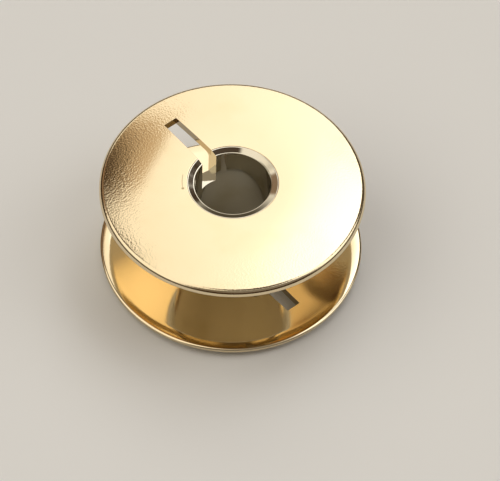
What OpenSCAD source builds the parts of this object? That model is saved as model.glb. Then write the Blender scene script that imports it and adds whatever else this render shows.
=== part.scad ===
// Flanged thread bobbin for an industrial lockstitch sewing machine: a turned core tube
// with a dished steel flange staked over each end. One slot is cut in from the bore at
// each end, the two half a turn apart. Millimetres, +Z up the bore, origin at the centre
// of the lower end.

/* [Overall] */
// Height over the two hub ends
bobbin_h = 9; // [7:0.1:12]
// Diameter of the flanges
flange_d = 21; // [18:0.1:26]
// Diameter of the bore that fits over the machine's post
bore_d = 6; // [5:0.1:6.8]

/* [Core tube] */
// Outside diameter of the barrel that the thread is wound on
barrel_d = 7.8; // [7.6:0.1:10]
// Outside diameter of the spigot that passes through each flange
spigot_d = 7.2; // [7.1:0.05:7.4]
// Radius of the fillet where the barrel meets a flange
shoulder_fillet_r = 0.4; // [0.1:0.05:0.8]
// Depth that the staking punch pushes in the spigot's inner edge
stake_drop = 0.16; // [0.05:0.01:0.3]
// Radius of the rounded lip at each end of the bore
lip_r = 0.12; // [0.05:0.01:0.2]

/* [Flanges] */
// Thickness of the flange sheet
sheet_t = 0.7; // [0.5:0.05:1]
// Distance that the rim stands back from the hub end
dish = 0.4; // [0.1:0.05:0.8]
// Diameter of the flat land around the spigot, where the dish starts
land_d = 7.9; // [7.6:0.1:9]
// Radius of the rounded edges of the rim
rim_edge_r = 0.22; // [0.05:0.01:0.24]

/* [Slots] */
// Distance from the bobbin's axis to the square outer end of a slot
slot_reach = 7.9; // [5:0.1:9]
// Width of a slot at its outer end
slot_end_w = 1.2; // [0.8:0.05:1.6]
// Width of a slot where it opens into the bore
slot_hub_w = 1.45; // [0.8:0.05:2]
// Depth of the notch in the barrel wall, at its outer side, below the hub end
notch_depth = 2.9; // [1.5:0.1:4]
// Distance that the notch's floor falls from its outer side to the bore
notch_fall_depth = 0.35; // [0:0.05:0.6]

/* [Hidden] */

bore_r = bore_d / 2;
barrel_r = barrel_d / 2;
spigot_r = spigot_d / 2;
flange_r = flange_d / 2;
land_r = land_d / 2;
// Where the web ends and the rounding of the rim starts
rim_start_r = flange_r - rim_edge_r;
// Radius of the curve that takes the web from the land to the rim, a dish's depth higher
dish_arc_r = (pow(rim_start_r - land_r, 2) + pow(dish, 2)) / (2 * dish);
// Radius that a slot's cutter starts from, inside the bore
slot_start = bore_r / 2;
// How far cutters run past the faces that they open
over = 0.5;
$fn = 96;

// Outline of a slot seen along the bore, running out along +Y
module slot_outline(reach) {
    polygon([
        [-slot_hub_w / 2, slot_start],
        [slot_hub_w / 2, slot_start],
        [slot_w_at(reach) / 2, reach],
        [-slot_w_at(reach) / 2, reach]
    ]);
}

// Width of a slot at a distance from the axis: it narrows evenly from the bore outwards
function slot_w_at(distance) =
    slot_hub_w + (slot_end_w - slot_hub_w) * (distance - slot_start) / (slot_reach - slot_start);

// Half section of the core tube, with its spigots, shoulders and staked ends
module tube_section() {
    difference() {
        union() {
            translate([bore_r, 0]) square([spigot_r - bore_r, bobbin_h]);
            translate([bore_r, sheet_t]) square([barrel_r - bore_r, bobbin_h - 2 * sheet_t]);
            section_at_both_ends() shoulder_fillet();
        }
        section_at_both_ends() staking_cutter();
    }
}

// A part of the section drawn at the lower end, and mirrored to the upper one
module section_at_both_ends() {
    children();
    translate([0, bobbin_h]) mirror([0, 1]) children();
}

// Concave fillet between the barrel and the flange's inner face
module shoulder_fillet() {
    translate([barrel_r, sheet_t]) difference() {
        square(shoulder_fillet_r);
        translate([shoulder_fillet_r, shoulder_fillet_r]) circle(shoulder_fillet_r);
    }
}

// What the staking punch leaves: an end face that falls towards the bore, and a round lip
module staking_cutter() {
    polygon([
        [spigot_r, 0],
        [bore_r + lip_r, stake_drop],
        [bore_r - over, stake_drop],
        [bore_r - over, -over],
        [spigot_r, -over]
    ]);
    translate([bore_r, stake_drop]) difference() {
        translate([-over, 0]) square([lip_r + over, lip_r]);
        translate([lip_r, lip_r]) circle(lip_r);
    }
}

// Cutter for the notch in the barrel wall at the lower end. Its floor falls to the bore.
module notch_cutter() {
    wall = barrel_r - bore_r;
    fall_per_mm = notch_fall_depth / wall;
    intersection() {
        translate([0, 0, -over]) linear_extrude(bobbin_h / 2) slot_outline(land_r + over);
        rotate([90, 0, 90]) translate([0, 0, -slot_hub_w]) linear_extrude(2 * slot_hub_w) polygon([
            [0, -over],
            [0, notch_depth + fall_per_mm * barrel_r],
            [land_r + over, notch_depth + fall_per_mm * (barrel_r - land_r - over)],
            [land_r + over, -over]
        ]);
    }
}

// One end of the bobbin turned over to the other, with its slot half a turn round
module at_upper_end() {
    translate([0, 0, bobbin_h]) rotate([180, 0, 0]) children();
}

// Slots face -Y at the lower end, so +Y once an end is turned over
module facing_slot() {
    rotate([0, 0, 180]) children();
}

module core_tube() {
    color([0.86, 0.82, 0.73]) difference() {
        rotate_extrude() tube_section();
        facing_slot() notch_cutter();
        at_upper_end() facing_slot() notch_cutter();
    }
}

// Half section of the lower flange: flat land, web curved up to the rim, rounded rim
module flange_section() {
    translate([spigot_r, 0]) square([land_r - spigot_r, sheet_t]);
    intersection() {
        translate([land_r, 0]) square([rim_start_r - land_r, dish + sheet_t]);
        difference() {
            dish_arc(0);
            dish_arc(sheet_t);
        }
    }
    translate([rim_start_r, dish + rim_edge_r]) {
        circle(rim_edge_r);
        translate([0, sheet_t - 2 * rim_edge_r]) circle(rim_edge_r);
        square([rim_edge_r, sheet_t - 2 * rim_edge_r]);
    }
}

// Disc whose lowest stretch is the curve of the web, starting level at the land
module dish_arc(height) {
    translate([land_r, height + dish_arc_r]) circle(dish_arc_r, $fn = 720);
}

module flange() {
    difference() {
        rotate_extrude($fn = 180) flange_section();
        facing_slot() translate([0, 0, -over])
            linear_extrude(dish + sheet_t + 2 * over) slot_outline(slot_reach);
    }
}

module lower_flange() {
    color([0.92, 0.88, 0.78]) flange();
}

module upper_flange() {
    color([0.92, 0.88, 0.78]) at_upper_end() flange();
}

core_tube();
upper_flange();
lower_flange();
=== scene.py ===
"""A thread bobbin for a lockstitch sewing machine, in bright nickel plate, on a pale studio floor.

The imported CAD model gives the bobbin's height and the flanges' diameter. Each piece is modelled again
with bmesh at those sizes, because a mirror finish needs smoother surfaces than the CAD mesh has.
"""

from __future__ import annotations

import logging
import math
from collections import Counter
from dataclasses import dataclass, field
from enum import Enum
from typing import Iterable

import bmesh
import bpy
from mathutils import Matrix, Vector

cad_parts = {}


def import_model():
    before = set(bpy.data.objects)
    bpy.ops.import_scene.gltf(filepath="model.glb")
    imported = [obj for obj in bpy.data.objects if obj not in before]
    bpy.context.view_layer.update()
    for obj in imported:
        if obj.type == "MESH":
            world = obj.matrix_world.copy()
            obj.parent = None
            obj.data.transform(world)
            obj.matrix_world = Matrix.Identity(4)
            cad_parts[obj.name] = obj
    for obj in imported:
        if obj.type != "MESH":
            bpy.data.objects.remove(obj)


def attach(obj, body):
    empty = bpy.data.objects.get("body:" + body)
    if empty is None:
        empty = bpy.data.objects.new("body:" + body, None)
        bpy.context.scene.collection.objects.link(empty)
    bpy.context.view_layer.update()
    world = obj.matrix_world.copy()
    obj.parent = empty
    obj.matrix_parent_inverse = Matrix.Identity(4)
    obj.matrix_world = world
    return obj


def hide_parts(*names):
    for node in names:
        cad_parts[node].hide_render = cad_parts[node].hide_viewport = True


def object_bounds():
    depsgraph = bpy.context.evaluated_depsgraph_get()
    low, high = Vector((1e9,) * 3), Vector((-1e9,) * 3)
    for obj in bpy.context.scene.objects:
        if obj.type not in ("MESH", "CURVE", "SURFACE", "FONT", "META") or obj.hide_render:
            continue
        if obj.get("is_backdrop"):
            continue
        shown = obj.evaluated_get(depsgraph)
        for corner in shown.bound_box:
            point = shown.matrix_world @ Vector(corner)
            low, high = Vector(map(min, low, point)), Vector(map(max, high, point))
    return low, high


# A millimetre in metres, and a micrometre in millimetres.
MM = 0.001
UM = 0.001
# How near, in millimetres, points are merged, lie on a cut, lie on a wall, and make a sliver.
MERGED = 1e-4
ON_CUT = 1e-5
ON_WALL = 1e-3
SLIVER = 3e-4
# Edges that turn by less than this many degrees are shaded smooth.
SHARP_FROM_DEG = 28
# The flanges mirror each other many times over, so the groove needs more bounces than usual.
GLOSSY_BOUNCES = 10

# Radius and height of a place in a section, in millimetres.
Point = tuple[float, float]
Mesh = bmesh.types.BMesh
Node = bpy.types.Node
Socket = bpy.types.NodeSocket
Tree = bpy.types.NodeTree
log = logging.getLogger("bobbin")


class End(Enum):
    """One end of the bobbin, with the way that its slot faces along Y."""

    LOWER = -1
    UPPER = 1


# ---------------------------------------------------------------------------------------------------------
# Colour and nodes
# ---------------------------------------------------------------------------------------------------------


def linear(hex_code: str) -> tuple[float, float, float, float]:
    """Turn an sRGB hex colour into the linear RGBA that Blender's nodes take.

    Args:
        hex_code: six hex digits, without a leading mark.

    Returns:
        Linear red, green and blue, and an alpha of one.
    """
    channels = [int(hex_code[i : i + 2], 16) / 255 for i in (0, 2, 4)]
    red, green, blue = (c / 12.92 if c <= 0.04045 else ((c + 0.055) / 1.055) ** 2.4 for c in channels)
    return (red, green, blue, 1.0)


def add_node(tree: Tree, kind: str, inputs: dict | None = None, **settings: object) -> Node:
    """Add one node with its settings, values and links.

    Args:
        tree: the node tree that the node goes into.
        kind: Blender's name for the node's type, without its ShaderNode prefix.
        inputs: socket name or index to a value, or to a socket or node that is linked in. A node gives its
            first output that is in use.
        **settings: attributes of the node itself.

    Returns:
        The new node.
    """
    node = tree.nodes.new("ShaderNode" + kind)
    for name, value in settings.items():
        setattr(node, name, value)
    for name, value in (inputs or {}).items():
        if isinstance(value, Node):
            value = next(output for output in value.outputs if output.enabled)
        if isinstance(value, Socket):
            tree.links.new(value, node.inputs[name])
        else:
            node.inputs[name].default_value = value
    return node


def from_axis(tree: Tree, place: Socket) -> Node:
    """Give the distance of a place from the Z axis."""
    flat = add_node(tree, "VectorMath", {0: place, 1: (1, 1, 0)}, operation="MULTIPLY")
    return add_node(tree, "VectorMath", {0: flat}, operation="LENGTH")


def facing(tree: Tree, ray: Socket, direction: Vector, start: float, full: float) -> Node:
    """Rise smoothly from 0 to 1 as rays turn towards a direction.

    Args:
        tree: the world's node tree.
        ray: the way that a ray points.
        direction: the unit vector that the rays are compared with.
        start: cosine of the angle between them where the rise starts.
        full: cosine where it is complete.

    Returns:
        How much a ray faces the direction.
    """
    cosine = add_node(tree, "VectorMath", {0: ray, 1: direction}, operation="DOT_PRODUCT")
    return add_node(
        tree,
        "MapRange",
        {"Value": cosine, "From Min": start, "From Max": full},
        interpolation_type="SMOOTHSTEP",
    )


def empty_tree(owner: bpy.types.ID) -> Tree:
    """Switch a material's or world's nodes on and clear them.

    Args:
        owner: the material or world.

    Returns:
        Its empty node tree.
    """
    owner.use_nodes = True
    owner.node_tree.nodes.clear()
    return owner.node_tree


# ---------------------------------------------------------------------------------------------------------
# Slots
# ---------------------------------------------------------------------------------------------------------


@dataclass(frozen=True)
class Side:
    """One flat side of an opening that is cut out of a shell. Points in front of it are kept."""

    point: Vector
    outwards: Vector

    def ahead(self, place: Vector) -> float:
        """How far a place lies in front of the side, in metres."""
        return (place - self.point).dot(self.outwards)


@dataclass(frozen=True)
class Slot:
    """The slot at one end, cut in from the bore. It narrows a little on its way out. Millimetres."""

    reach: float = 7.9
    end_w: float = 1.2
    hub_w: float = 1.45
    start: float = 1.5
    # How far beside the slot's middle line, and past its reach, a cut looks for the shell's faces.
    beside: float = 1.5
    past: float = 2.0

    @property
    def narrows(self) -> float:
        """How far each long side leans in for its length."""
        return (self.hub_w - self.end_w) / 2 / (self.reach - self.start)

    def flanks(self, end: End) -> list[Side]:
        """The slot's two long sides.

        Args:
            end: the end that the slot is in.

        Returns:
            The sides, which run out from the bore.
        """
        way = end.value
        return [
            Side(
                Vector((hand * self.hub_w / 2, way * self.start, 0)) * MM,
                Vector((hand, way * self.narrows, 0)).normalized(),
            )
            for hand in (1, -1)
        ]

    def is_near(self, place: Vector, end: End) -> bool:
        """Whether a place, in metres, is close enough to the slot at one end to be cut."""
        out = place.y * end.value
        return 0 < out < (self.reach + self.past) * MM and abs(place.x) < self.beside * MM


# ---------------------------------------------------------------------------------------------------------
# Finishes
# ---------------------------------------------------------------------------------------------------------


@dataclass(frozen=True)
class NickelPlate:
    """Bright nickel, plated on steel and not polished afterwards.

    Nickel is a warm mirror, a little yellower than chromium, so the eye sees sharp reflections with a warm
    cast. Handling has yellowed and hazed it in soft clouds.
    """

    name: str
    body: str = "E3D2B0"
    yellowed: str = "D6C69A"
    cloud_mm: float = 5.0
    # Levels of the cloud noise between which it yellows, and between which it grows hazy.
    yellows: tuple[float, float] = (0.45, 0.75)
    yellow_most: float = 0.3
    hazes: tuple[float, float] = (0.3, 0.8)
    roughness: float = 0.05
    haze: float = 0.11

    def build(self) -> bpy.types.Material:
        """Make the material.

        Returns:
            The finished material.
        """
        material = bpy.data.materials.new(self.name)
        tree = empty_tree(material)
        place = add_node(tree, "TexCoord").outputs["Object"]
        cloud = add_node(
            tree,
            "TexNoise",
            {"Vector": place, "Scale": 1 / (self.cloud_mm * MM), "Detail": 3.0, "Roughness": 0.55},
        )
        yellow = add_node(
            tree,
            "MapRange",
            {
                "Value": cloud,
                "From Min": self.yellows[0],
                "From Max": self.yellows[1],
                "To Max": self.yellow_most,
            },
            interpolation_type="SMOOTHSTEP",
        )
        colour = add_node(
            tree,
            "Mix",
            {"Factor": yellow, "A": linear(self.body), "B": linear(self.yellowed)},
            data_type="RGBA",
        )
        roughness = add_node(
            tree,
            "MapRange",
            {
                "Value": cloud,
                "From Min": self.hazes[0],
                "From Max": self.hazes[1],
                "To Min": self.roughness,
                "To Max": self.haze,
            },
        )
        bump = add_node(tree, "Bump", {"Height": self.relief(tree, place), "Distance": MM})
        shader = add_node(
            tree,
            "BsdfPrincipled",
            {
                "Base Color": self.marked(tree, place, colour),
                "Metallic": 1.0,
                "Roughness": roughness,
                "Normal": bump,
            },
        )
        add_node(tree, "OutputMaterial", {"Surface": shader})
        return material

    def relief(self, tree: Tree, place: Socket) -> Node:
        """Give the surface's fine relief, as a height in millimetres."""
        raise NotImplementedError

    def marked(self, tree: Tree, place: Socket, colour: Node) -> Node:
        """Lay marks over the plate's colour. A plain plate has none."""
        return colour


@dataclass(frozen=True)
class SheetNickel(NickelPlate):
    """Nickel on pressed and tumbled sheet steel, as on the flanges.

    Tumbling leaves a fine orange peel, which sparkles where the mirror is dark. Under it lies the slow
    waviness of the pressing, which bends large reflections a little. The slot's walls are coloured darker:
    partly the duller plate of the shear-cut edges, partly painted shade for the dark that the walls show in
    the slot. The staking punch left one mark on the upper land.
    """

    slot: Slot = Slot()
    middle_mm: float = 4.5
    # The peel fades towards the hub, and on the inner faces, which tumbling hardly reaches. Its relief is
    # drawn deep enough to show at this scale.
    peel_mm: float = 0.15
    peel_depth_um: float = 7.0
    smooth_to_mm: float = 6.4
    peeled_from_mm: float = 8.4
    hub_share: float = 0.1
    inner_share: float = 0.15
    # Height off the bobbin's middle where the outer faces begin, and half the width of the change.
    outer_face_mm: float = 3.95
    face_change_mm: float = 0.05
    wave_mm: float = 2.6
    wave_depth_um: float = 4.0
    # The mark is a short arc round the hub that ends in a dot. The dot fades between two shares of the
    # line's width, and the gains set how soon each is at full strength.
    mark: str = "6E6238"
    mark_r: float = 3.97
    mark_w: float = 0.05
    mark_azimuth: float = 140.4
    mark_half_deg: float = 10.5
    mark_above_mm: float = 8.55
    mark_depth: float = 0.42
    arc_gain: float = 4.0
    dot_fades: tuple[float, float] = (3.0, 1.4)
    dot_gain: float = 1.6
    # The slot's walls are coloured darker: partly the duller plate of their shear-cut edges, partly painted
    # shade.
    dull_shaded_wall: str = "8F8168"
    dull_shaded_wall_depth: float = 0.6
    wall_within_mm: float = 0.012

    def marked(self, tree: Tree, place: Socket, colour: Node) -> Node:
        """Lay the slot's darker walls, partly dull plate and partly painted shade, and the staking mark over
        the plate.

        Args:
            tree: the material's node tree.
            place: the surface's place in the object, in metres.
            colour: the plate's colour.

        Returns:
            The colour with the marks on it.
        """
        for amount, tint in (
            (self._dull_shaded_walls(tree, place), self.dull_shaded_wall),
            (self._staking_mark(tree, place), self.mark),
        ):
            colour = add_node(
                tree, "Mix", {"Factor": amount, "A": colour, "B": linear(tint)}, data_type="RGBA"
            )
        return colour

    def _dull_shaded_walls(self, tree: Tree, place: Socket) -> Node:
        """Find the walls of the slot, whose colour is partly dull plate and partly painted shade.

        Args:
            tree: the material's node tree.
            place: the surface's place in the object, in metres.

        Returns:
            How much of the dull colour shows, which is nothing away from the walls.
        """
        slot, near = self.slot, self.wall_within_mm * MM
        hub_half = (slot.hub_w / 2 + slot.narrows * slot.start) * MM
        x, y, z = add_node(tree, "SeparateXYZ", {0: place}).outputs
        side = add_node(tree, "Math", {0: x}, operation="ABSOLUTE")
        above = add_node(tree, "Math", {0: z, 1: self.middle_mm * MM}, operation="SUBTRACT")
        end = add_node(tree, "Math", {0: above}, operation="SIGN")
        out = add_node(tree, "Math", {0: y, 1: end}, operation="MULTIPLY")
        half = add_node(tree, "Math", {0: out, 1: -slot.narrows, 2: hub_half}, operation="MULTIPLY_ADD")
        on_flank = add_node(tree, "Math", {0: side, 1: half, 2: near}, operation="COMPARE")
        inside = add_node(tree, "Math", {0: out, 1: slot.reach * MM + near}, operation="LESS_THAN")
        ahead = add_node(tree, "Math", {0: out, 1: 0.0}, operation="GREATER_THAN")
        in_reach = add_node(tree, "Math", {0: inside, 1: ahead}, operation="MULTIPLY")
        flank = add_node(tree, "Math", {0: on_flank, 1: in_reach}, operation="MULTIPLY")
        on_end = add_node(tree, "Math", {0: out, 1: slot.reach * MM, 2: near}, operation="COMPARE")
        in_width = add_node(tree, "Math", {0: side, 1: slot.end_w / 2 * MM + near}, operation="LESS_THAN")
        end_wall = add_node(tree, "Math", {0: on_end, 1: in_width}, operation="MULTIPLY")
        wall = add_node(tree, "Math", {0: flank, 1: end_wall}, operation="MAXIMUM")
        return add_node(tree, "Math", {0: wall, 1: self.dull_shaded_wall_depth}, operation="MULTIPLY")

    def _staking_mark(self, tree: Tree, place: Socket) -> Node:
        """Draw what the staking punch left on the upper land.

        Args:
            tree: the material's node tree.
            place: the surface's place in the object, in metres.

        Returns:
            How much of the mark's colour shows.
        """
        half_deg, radius_m, width_m = self.mark_half_deg, self.mark_r * MM, self.mark_w * MM
        middle, end = (
            Vector((math.cos(math.radians(a)), math.sin(math.radians(a)), 0))
            for a in (self.mark_azimuth, self.mark_azimuth + half_deg)
        )
        flat = add_node(tree, "VectorMath", {0: place, 1: (1, 1, 0)}, operation="MULTIPLY")
        way_out = add_node(tree, "VectorMath", {0: flat}, operation="NORMALIZE")
        cosine = add_node(tree, "VectorMath", {0: way_out, 1: middle}, operation="DOT_PRODUCT")
        in_arc = add_node(
            tree,
            "MapRange",
            {
                "Value": cosine,
                "From Min": math.cos(math.radians(half_deg)),
                "From Max": 1.0,
                "To Max": self.arc_gain,
            },
        )
        past_line = add_node(tree, "Math", {0: from_axis(tree, place), 1: radius_m}, operation="SUBTRACT")
        off_line = add_node(tree, "Math", {0: past_line}, operation="ABSOLUTE")
        on_line = add_node(tree, "MapRange", {"Value": off_line, "From Min": width_m, "From Max": 0.0})
        arc = add_node(tree, "Math", {0: in_arc, 1: on_line}, operation="MULTIPLY", use_clamp=True)
        off_dot = add_node(tree, "VectorMath", {0: flat, 1: end * radius_m}, operation="DISTANCE")
        dot = add_node(
            tree,
            "MapRange",
            {
                "Value": off_dot,
                "From Min": self.dot_fades[0] * width_m,
                "From Max": self.dot_fades[1] * width_m,
                "To Max": self.dot_gain,
            },
        )
        both = add_node(tree, "Math", {0: arc, 1: dot}, operation="MAXIMUM")
        height = add_node(tree, "SeparateXYZ", {0: place}).outputs["Z"]
        upper = add_node(tree, "Math", {0: height, 1: self.mark_above_mm * MM}, operation="GREATER_THAN")
        amount = add_node(tree, "Math", {0: both, 1: upper}, operation="MULTIPLY")
        return add_node(tree, "Math", {0: amount, 1: self.mark_depth}, operation="MULTIPLY")

    def relief(self, tree: Tree, place: Socket) -> Node:
        """Give the peel and the waviness.

        Args:
            tree: the material's node tree.
            place: the surface's place in the object, in metres.

        Returns:
            The height in millimetres.
        """
        peel, wave = (
            add_node(
                tree,
                "TexNoise",
                {"Vector": place, "Scale": 1 / (size * MM), "Detail": detail, "Roughness": 0.5},
            )
            for size, detail in ((self.peel_mm, 2.0), (self.wave_mm, 0.0))
        )
        height = add_node(tree, "SeparateXYZ", {0: place}).outputs["Z"]
        off_middle = add_node(tree, "Math", {0: height, 1: self.middle_mm * MM}, operation="SUBTRACT")
        away = add_node(tree, "Math", {0: off_middle}, operation="ABSOLUTE")
        depth = add_node(
            tree,
            "MapRange",
            {
                "Value": away,
                "From Min": (self.outer_face_mm - self.face_change_mm) * MM,
                "From Max": (self.outer_face_mm + self.face_change_mm) * MM,
                "To Min": self.inner_share * self.peel_depth_um * UM,
                "To Max": self.peel_depth_um * UM,
            },
        )
        drawn = add_node(
            tree,
            "MapRange",
            {
                "Value": from_axis(tree, place),
                "From Min": self.smooth_to_mm * MM,
                "From Max": self.peeled_from_mm * MM,
                "To Min": self.hub_share,
            },
        )
        faded = add_node(tree, "Math", {0: peel, 1: drawn}, operation="MULTIPLY")
        fine = add_node(tree, "Math", {0: faded, 1: depth}, operation="MULTIPLY")
        return add_node(
            tree, "Math", {0: wave, 1: self.wave_depth_um * UM, 2: fine}, operation="MULTIPLY_ADD"
        )


@dataclass(frozen=True)
class TurnedNickel(NickelPlate):
    """Nickel on lathe-turned steel, as on the core tube.

    Fine tool lines run round it and comb its reflections, and it has yellowed more than the sheet. Its
    colour is darker and greyer than the sheet's: partly the duller turned finish, partly painted shade that
    darkens the staked rings and the barrel's reflection in the groove. The lines are finer than the render
    can show, so they are drawn coarser.
    """

    # A darker body than the sheet's: partly the turned finish, partly painted shade for the groove and the
    # rings.
    body: str = "CFC8B6"
    yellowed: str = "B3A680"
    yellow_most: float = 0.6
    line_mm: float = 0.09
    line_depth_um: float = 0.7

    def relief(self, tree: Tree, place: Socket) -> Node:
        """Give the tool lines, which change along the height and the radius but not round the tube.

        Args:
            tree: the material's node tree.
            place: the surface's place in the object, in metres.

        Returns:
            The height in millimetres.
        """
        height = add_node(tree, "SeparateXYZ", {0: place}).outputs["Z"]
        along = add_node(tree, "Math", {0: from_axis(tree, place), 1: height}, operation="ADD")
        lines = add_node(
            tree,
            "TexNoise",
            {"W": along, "Scale": 1 / (self.line_mm * MM), "Detail": 2.0, "Roughness": 0.6},
            noise_dimensions="1D",
        )
        return add_node(tree, "Math", {0: lines, 1: self.line_depth_um * UM}, operation="MULTIPLY")


# ---------------------------------------------------------------------------------------------------------
# Mesh helpers
# ---------------------------------------------------------------------------------------------------------


def outline(mesh: Mesh, points: Iterable[Point]) -> dict[Point, bmesh.types.BMVert]:
    """Draw a closed outline in the XZ plane.

    Args:
        mesh: the mesh that the outline goes into.
        points: the outline's corners.

    Returns:
        Each corner's vertex.
    """
    corners = {(r, z): mesh.verts.new((r * MM, 0, z * MM)) for r, z in points}
    verts = list(corners.values())
    for a, b in zip(verts, verts[1:] + verts[:1]):
        mesh.edges.new((a, b))
    return corners


def round_corner(mesh: Mesh, corner: bmesh.types.BMVert, back_mm: float, segments: int) -> None:
    """Round one corner of an outline with an arc that is tangent to both of its edges.

    Args:
        mesh: the mesh that holds the outline.
        corner: the corner's vertex.
        back_mm: how far back from the corner the arc starts.
        segments: how many edges the arc has.
    """
    bmesh.ops.bevel(
        mesh,
        geom=[corner],
        offset=back_mm * MM,
        offset_type="OFFSET",
        segments=segments,
        profile=0.5,
        affect="VERTICES",
        material=-1,
    )


def turn(mesh: Mesh, steps: int) -> None:
    """Turn the closed outline in the XZ plane round the Z axis into a ring.

    Args:
        mesh: the mesh that holds the outline and nothing else.
        steps: how many segments the full turn has.
    """
    bmesh.ops.spin(
        mesh,
        geom=list(mesh.verts) + list(mesh.edges),
        cent=(0, 0, 0),
        axis=(0, 0, 1),
        angle=math.tau,
        steps=steps,
        use_merge=True,
    )
    bmesh.ops.remove_doubles(mesh, verts=mesh.verts, dist=MERGED * MM)
    bmesh.ops.recalc_face_normals(mesh, faces=mesh.faces)


def cut_opening(mesh: Mesh, sides: list[Side], slot: Slot, end: End) -> None:
    """Cut an opening out of a closed shell and wall its sides.

    Args:
        mesh: the closed shell.
        sides: the opening's flat sides.
        slot: the slot that the opening belongs to.
        end: the end that the slot is at.
    """
    for side in sides:
        faces = [f for f in mesh.faces if any(slot.is_near(v.co, end) for v in f.verts)]
        geom = [*dict.fromkeys(part for face in faces for part in (*face.verts, *face.edges)), *faces]
        bmesh.ops.bisect_plane(
            mesh, geom=geom, dist=ON_CUT * MM, plane_co=side.point, plane_no=side.outwards
        )
    middles = {face: face.calc_center_median() for face in mesh.faces}
    gone = [
        face
        for face, middle in middles.items()
        if slot.is_near(middle, end) and all(side.ahead(middle) < 0 for side in sides)
    ]
    bmesh.ops.delete(mesh, geom=gone, context="FACES")
    for side in sides:
        rim = [
            edge
            for edge in mesh.edges
            if edge.is_boundary and all(abs(side.ahead(v.co)) < ON_WALL * MM for v in edge.verts)
        ]
        wall_in(mesh, rim)
    bmesh.ops.dissolve_degenerate(mesh, edges=mesh.edges, dist=SLIVER * MM)
    bmesh.ops.recalc_face_normals(mesh, faces=mesh.faces)


def wall_in(mesh: Mesh, rim: list[bmesh.types.BMEdge]) -> None:
    """Fill one flat side of an opening, and close its outline where it is open.

    Args:
        mesh: the mesh that the wall goes into.
        rim: the edges of the opening that lie on that side.
    """
    edges_at = Counter(vert for edge in rim for vert in edge.verts)
    loose = [vert for vert, edges in edges_at.items() if edges == 1]
    # A long side is open where the opening's last side cuts it off, and has two loose corners there. The
    # last side is already closed by the edges that join them.
    if loose:
        rim.append(mesh.edges.new(loose))
    bmesh.ops.edgenet_fill(mesh, edges=rim)


def turn_over(mesh: Mesh, height_mm: float) -> None:
    """Turn a lower end over about the X axis so that it sits at the bobbin's upper end.

    Args:
        mesh: the lower end's mesh.
        height_mm: the bobbin's height.
    """
    over = Matrix.Translation((0, 0, height_mm * MM)) @ Matrix.Rotation(math.pi, 4, "X")
    bmesh.ops.transform(mesh, matrix=over, verts=mesh.verts)


def finish_piece(name: str, mesh: Mesh, material: bpy.types.Material) -> bpy.types.Object:
    """Turn a bmesh into a piece of the scene, smooth but for its corners.

    Args:
        name: the piece's name.
        mesh: the finished bmesh, which is freed.
        material: the piece's material.

    Returns:
        The new object.
    """
    sharp = math.radians(SHARP_FROM_DEG)
    for face in mesh.faces:
        face.smooth = True
    for edge in mesh.edges:
        edge.smooth = edge.is_manifold and edge.calc_face_angle(math.pi) < sharp
    data = bpy.data.meshes.new(name)
    mesh.to_mesh(data)
    mesh.free()
    data.materials.append(material)
    piece = bpy.data.objects.new(name, data)
    bpy.context.scene.collection.objects.link(piece)
    return piece


# ---------------------------------------------------------------------------------------------------------
# The bobbin
# ---------------------------------------------------------------------------------------------------------


@dataclass
class Bobbin:
    """The whole bobbin: a core tube and two flanges staked on it. Sizes in millimetres."""

    height: float
    flange_r: float
    bore_r: float = 3.0
    barrel_r: float = 3.9
    spigot_r: float = 3.6
    land_r: float = 3.95
    sheet_t: float = 0.7
    dish: float = 0.4
    slot: Slot = field(default_factory=Slot)


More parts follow.
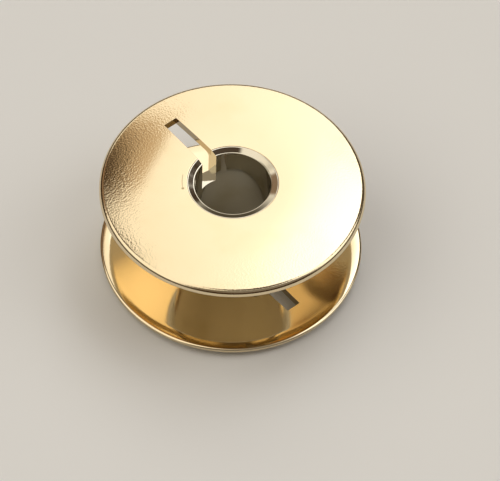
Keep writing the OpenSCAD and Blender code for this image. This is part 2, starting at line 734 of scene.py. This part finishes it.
@dataclass
class Flange:
    """A pressed disc with a flat land, a curved web, a rounded rim and one slot. Sizes in millimetres.

    The rim's inner edge is rounded less than its outer one. An arc starts at a share of its radius back from
    the corner, clear of the web. A corner a few seams out from the mouth keeps the land's shading flat. The
    web's rings crowd together towards the rim, where it curves most. The slopes of its inner face are pairs
    of a run out from the land and degrees.
    """

    bobbin: Bobbin
    end: End
    finish: bpy.types.Material
    rim_edge_r: float = 0.22
    rim_outer_r: float = 0.4
    rim_segments: int = 10
    arc_share: float = 0.98
    seam: float = 0.02
    seam_segments: int = 2
    support_seams: int = 3
    web_rings: int = 40
    crowding: float = 1.7
    inner_slopes: tuple[tuple[float, float], ...] = (
        (0.0, 0.0),
        (5.6, 6.4),
        (5.85, 1.2),
        (6.33, -5.5),
    )
    steps: int = 288

    @property
    def node(self) -> str:
        """Name of the CAD node that this flange stands for."""
        return f"{self.end.name.lower()}_flange"

    def build(self) -> bpy.types.Object:
        """Model the flange at its own end of the bobbin.

        Returns:
            The flange's object.
        """
        mesh = bmesh.new()
        self._draw_section(mesh)
        turn(mesh, self.steps)
        self._cut_slot(mesh)
        if self.end is End.UPPER:
            turn_over(mesh, self.bobbin.height)
        return finish_piece(self.node + "_plated", mesh, self.finish)

    def _inner_slope(self, run_mm: float) -> float:
        """Give the slope of the web's inner face.

        Args:
            run_mm: distance out from the land.

        Returns:
            The slope as a tangent.
        """
        for (near, near_deg), (far, far_deg) in zip(self.inner_slopes, self.inner_slopes[1:]):
            if run_mm <= far:
                break
        share = min(max((run_mm - near) / (far - near), 0.0), 1.0)
        return math.tan(math.radians(near_deg + share * (far_deg - near_deg)))

    def _draw_section(self, mesh: Mesh) -> None:
        """Draw the flange's section: the web curves up, and its inner face rolls off at the rim.

        Args:
            mesh: the empty mesh that the section goes into.
        """
        b = self.bobbin
        run = b.flange_r - self.rim_edge_r - b.land_r
        outer_run = b.flange_r - self.rim_outer_r - b.land_r
        arc_r = (run**2 + b.dish**2) / (2 * b.dish)
        outer = [(0.0, 0.0)]
        inner = [(0.0, b.sheet_t)]
        for ring in range(1, self.web_rings + 1):
            last = inner[-1][0]
            out = run * (1 - (1 - ring / self.web_rings) ** self.crowding)
            outside = out * outer_run / run
            outer.append((outside, arc_r - math.sqrt(arc_r**2 - outside**2)))
            inner.append((out, inner[-1][1] + (out - last) * self._inner_slope((out + last) / 2)))
        rim = [
            (b.flange_r, outer[-1][1] + self.rim_outer_r * outer_run / arc_r),
            (b.flange_r, inner[-1][1] + self.rim_edge_r * self._inner_slope(run)),
        ]
        mouth = [(b.spigot_r, b.sheet_t), (b.spigot_r, 0.0)]
        support = b.spigot_r + self.support_seams * self.seam
        corners = outline(
            mesh,
            [
                *rim,
                *((b.land_r + out, z) for out, z in reversed(inner)),
                (support, b.sheet_t),
                *mouth,
                (support, 0.0),
                *((b.land_r + out, z) for out, z in outer),
            ],
        )
        for point, edge_r in zip(rim, (self.rim_outer_r, self.rim_edge_r)):
            round_corner(mesh, corners[point], edge_r * self.arc_share, self.rim_segments)
        for point in mouth:
            round_corner(mesh, corners[point], self.seam, self.seam_segments)

    def _cut_slot(self, mesh: Mesh) -> None:
        """Cut the slot towards -Y.

        Args:
            mesh: the lower flange's mesh.
        """
        slot = self.bobbin.slot
        end_wall = Side(Vector((0, -slot.reach * MM, 0)), Vector((0, -1, 0)))
        cut_opening(mesh, [*slot.flanks(End.LOWER), end_wall], slot, End.LOWER)


@dataclass
class CoreTube:
    """The turned tube: barrel, shoulders, spigots staked at both ends, bore and two notches.

    Sizes in millimetres. Arcs start at a share of their radius back from the corner, clear of the next one.
    The staked rings have tool lines finer than the render can show, so a few coarse ones are drawn.
    """

    bobbin: Bobbin
    finish: bpy.types.Material
    fillet_r: float = 0.4
    fillet_share: float = 0.99
    fillet_segments: int = 10
    stake_drop: float = 0.177
    seam: float = 0.07
    seam_segments: int = 2
    lip_r: float = 0.07
    lip_share: float = 0.98
    lip_segments: int = 6
    ring_lines: int = 5
    ring_line_depth: float = 0.002
    notch_depth: float = 2.9
    notch_fall: float = 0.35
    steps: int = 240

    def build(self) -> bpy.types.Object:
        """Model the core tube.

        Returns:
            The tube's object.
        """
        mesh = bmesh.new()
        self._draw_section(mesh)
        turn(mesh, self.steps)
        for end in End:
            self._cut_notch(mesh, end)
        return finish_piece("core_tube_plated", mesh, self.finish)

    def _draw_section(self, mesh: Mesh) -> None:
        """Draw the tube's section: filleted shoulders, staked rings with tool lines, and round lips.

        Args:
            mesh: the empty mesh that the section goes into.
        """
        b = self.bobbin
        shoulder, seam, lip = (b.barrel_r, b.sheet_t), (b.spigot_r, 0.0), (b.bore_r, self.stake_drop)
        lower = [
            shoulder,
            (b.barrel_r + self.fillet_r, b.sheet_t),
            (b.spigot_r, b.sheet_t),
            seam,
            (b.bore_r + self.lip_r, self.stake_drop),
            lip,
        ]
        corners = outline(mesh, lower + [(r, b.height - z) for r, z in reversed(lower)])
        for (r, z), back, segments in (
            (shoulder, self.fillet_r * self.fillet_share, self.fillet_segments),
            (lip, self.lip_r * self.lip_share, self.lip_segments),
            (seam, self.seam, self.seam_segments),
        ):
            for point in ((r, z), (r, b.height - z)):
                round_corner(mesh, corners[point], back, segments)
        for end in End:
            self._groove_ring(mesh, end)

    def _groove_ring(self, mesh: Mesh, end: End) -> None:
        """Press fine tool lines into the section of one staked ring.

        Args:
            mesh: the mesh that holds the section.
            end: the end that the ring is at.
        """
        b = self.bobbin
        end_z = b.height * MM if end is End.UPPER else 0.0
        # The ring is the one long edge of the section that lies no deeper than the staking drop.
        within, long = (self.stake_drop + ON_WALL) * MM, (b.spigot_r - b.bore_r) / 2 * MM
        ring = [
            edge
            for edge in mesh.edges
            if all(abs(v.co.z - end_z) < within for v in edge.verts) and edge.calc_length() > long
        ]
        cut = bmesh.ops.subdivide_edges(mesh, edges=ring, cuts=2 * self.ring_lines)
        line_up = sorted(
            (part for part in cut["geom_inner"] if isinstance(part, bmesh.types.BMVert)),
            key=lambda vert: vert.co.x,
        )
        for vert in line_up[::2]:
            vert.co.z -= end.value * self.ring_line_depth * MM

    def _cut_notch(self, mesh: Mesh, end: End) -> None:
        """Cut the notch in the wall at one end.

        Args:
            mesh: the tube's mesh.
            end: the end that is cut.
        """
        b, way = self.bobbin, end.value
        falls = self.notch_fall / (b.barrel_r - b.bore_r)
        floor_z = self.notch_depth if end is End.LOWER else b.height - self.notch_depth
        floor = Side(
            Vector((0, way * b.barrel_r, floor_z)) * MM,
            Vector((0, way * falls, -way)).normalized(),
        )
        cut_opening(mesh, [*b.slot.flanks(end), floor], b.slot, end)


# ---------------------------------------------------------------------------------------------------------
# Studio
# ---------------------------------------------------------------------------------------------------------


@dataclass(frozen=True)
class Panel:
    """A round panel with a soft edge, hung in the studio so that the mirror finish has something to show.

    Angles in degrees: turn is to the right of the camera's line of sight, rise is above the floor, reach is
    out to the middle of its soft edge.
    """

    turn: float
    rise: float
    reach: float
    edge: float
    cover: float
    colour: str = "2A1C0C"


@dataclass(frozen=True)
class Studio:
    """The pale floor, the soft light and the camera.

    The dome is warm on one side and cool on the other, with the change between two cosines off the side,
    and dark below the rise where it starts.
    """

    azimuth: float = -41.0
    elevation: float = 53.13
    roll: float = 2.17
    distance_mm: float = 253.4
    lens_mm: float = 232.4
    aim_right_mm: float = 1.36
    aim_up_mm: float = -4.35
    sensor_mm: float = 36
    clip_m: tuple[float, float] = (0.01, 10)
    floor_half_m: float = 1.5
    floor_colour: str = "ECECEA"
    warm_light: str = "C7C1B7"
    cool_light: str = "DDDBD8"
    horizon_light: str = "3F3930"
    cool_side: tuple[float, float] = (-0.15, 0.2)
    dome_level: float = 2.4
    dome_starts: float = 18.0
    dome_full: float = 36.0
    panels: tuple[Panel, ...] = (
        # A white card at the back right.
        Panel(turn=36, rise=54, reach=13, edge=14, cover=1.0, colour="FFFFFF"),
        # A brown card and a dark one at the back left, which the upper flange shows as a patch.
        Panel(turn=-17.5, rise=45.5, reach=6.8, edge=1.5, cover=1.0, colour="97846C"),
        Panel(turn=-25.5, rise=45.5, reach=6.6, edge=8, cover=1.0, colour="2A1F14"),
        # Dark and brown cards further to the left.
        Panel(turn=-37, rise=53, reach=5.0, edge=2, cover=0.95),
        Panel(turn=-38.5, rise=58.5, reach=8.0, edge=1.5, cover=0.95),
        Panel(turn=-42, rise=37, reach=12, edge=4, cover=0.9, colour="5C432C"),
        Panel(turn=-56, rise=18, reach=16, edge=6, cover=0.9),
        # Dark cards on the right.
        Panel(turn=30, rise=26, reach=10, edge=4, cover=0.97),
        Panel(turn=48, rise=34, reach=13, edge=4, cover=0.97),
        Panel(turn=53, rise=47, reach=8, edge=3, cover=0.97),
        Panel(turn=55, rise=57, reach=6, edge=3, cover=0.97),
        # A dark card overhead, and a wide one behind the camera.
        Panel(turn=90, rise=83, reach=13, edge=4, cover=0.97),
        Panel(turn=160, rise=30, reach=44, edge=16, cover=0.88),
    )

    def towards(self, turn_deg: float, rise_deg: float) -> Vector:
        """Give a direction in the studio.

        Args:
            turn_deg: degrees to the right of the camera's line of sight.
            rise_deg: degrees above the floor.

        Returns:
            A unit vector that points that way.
        """
        azimuth, rise = math.radians(self.azimuth + 180 - turn_deg), math.radians(rise_deg)
        level = math.cos(rise)
        return Vector((math.sin(azimuth) * level, -math.cos(azimuth) * level, math.sin(rise)))

    def place_camera(self, centre: Vector) -> None:
        """Set the camera at its viewing angle.

        Args:
            centre: the point that the aim is measured from.
        """
        forward = self.towards(0, -self.elevation)
        level = forward.cross(Vector((0, 0, 1))).normalized()
        upright = level.cross(forward)
        roll = math.radians(self.roll)
        right = math.cos(roll) * level + math.sin(roll) * upright
        up = -math.sin(roll) * level + math.cos(roll) * upright
        target = centre + (self.aim_right_mm * right + self.aim_up_mm * up) * MM
        data = bpy.data.cameras.new("camera")
        data.lens = self.lens_mm
        data.sensor_width = self.sensor_mm
        data.clip_start, data.clip_end = self.clip_m
        camera = bpy.data.objects.new("camera", data)
        axes = Matrix((right, up, -forward)).transposed()
        camera.matrix_world = Matrix.Translation(target - forward * self.distance_mm * MM) @ axes.to_4x4()
        bpy.context.scene.collection.objects.link(camera)
        bpy.context.scene.camera = camera

    def lay_floor(self) -> None:
        """Lay a plain pale floor under the bobbin."""
        mesh = bmesh.new()
        bmesh.ops.create_grid(mesh, x_segments=1, y_segments=1, size=self.floor_half_m)
        data = bpy.data.meshes.new("floor")
        mesh.to_mesh(data)
        mesh.free()
        floor = bpy.data.objects.new("floor", data)
        bpy.context.scene.collection.objects.link(floor)
        # Uncoated card, pale and quite matt, so that nothing but the shadow shows on it.
        material = bpy.data.materials.new("pale_card")
        tree = empty_tree(material)
        card = add_node(tree, "BsdfDiffuse", {"Color": linear(self.floor_colour)})
        add_node(tree, "OutputMaterial", {"Surface": card})
        data.materials.append(material)
        floor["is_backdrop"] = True

    def light(self) -> None:
        """Light the bobbin with a soft dome, dark at the horizon, and hang the panels in front of it."""
        world = bpy.data.worlds.new("studio")
        bpy.context.scene.world = world
        tree = empty_tree(world)
        ray = add_node(tree, "TexCoord").outputs["Generated"]
        cool = facing(tree, ray, self.towards(90, 0), *self.cool_side)
        dome = add_node(
            tree,
            "Mix",
            {"Factor": cool, "A": linear(self.warm_light), "B": linear(self.cool_light)},
            data_type="RGBA",
        )
        low, full = (math.sin(math.radians(rise)) for rise in (self.dome_starts, self.dome_full))
        above = facing(tree, ray, Vector((0, 0, 1)), low, full)
        light = add_node(
            tree, "Mix", {"Factor": above, "A": linear(self.horizon_light), "B": dome}, data_type="RGBA"
        )
        for panel in self.panels:
            outer, inner = (
                math.cos(math.radians(panel.reach + way * panel.edge / 2)) for way in (1, -1)
            )
            inside = facing(tree, ray, self.towards(panel.turn, panel.rise), outer, inner)
            cover = add_node(tree, "Math", {0: inside, 1: panel.cover}, operation="MULTIPLY")
            light = add_node(
                tree, "Mix", {"Factor": cover, "A": light, "B": linear(panel.colour)}, data_type="RGBA"
            )
        air = add_node(tree, "Background", {"Color": light, "Strength": self.dome_level})
        add_node(tree, "OutputWorld", {"Surface": air})


def main() -> None:
    """Build the bobbin, dress it and set up the studio."""
    logging.basicConfig(level=logging.INFO, format="%(name)s: %(message)s")
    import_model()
    cad_low, cad_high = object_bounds()
    bobbin = Bobbin(height=(cad_high.z - cad_low.z) / MM, flange_r=cad_high.x / MM)
    sheet = SheetNickel(
        "bright_nickel_on_pressed_sheet", slot=bobbin.slot, middle_mm=bobbin.height / 2
    ).build()
    turned = TurnedNickel("bright_nickel_on_turned_tube").build()
    pieces = [
        (CoreTube(bobbin, turned).build(), "core_tube", "core_plating"),
        (Flange(bobbin, End.UPPER, sheet).build(), "upper_flange", "flange_plating"),
        (Flange(bobbin, End.LOWER, sheet).build(), "lower_flange", "flange_plating"),
    ]
    for piece, node, slot in pieces:
        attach(piece, "root")
        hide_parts(node)
        log.info("%s: %d faces", piece.name, len(piece.data.polygons))
    studio = Studio()
    studio.place_camera(Vector((0, 0, (bobbin.height - bobbin.dish) * MM)))
    studio.lay_floor()
    studio.light()
    scene = bpy.context.scene
    scene.view_settings.view_transform = "Standard"
    scene.cycles.glossy_bounces = GLOSSY_BOUNCES


if __name__ == "__main__":
    main()
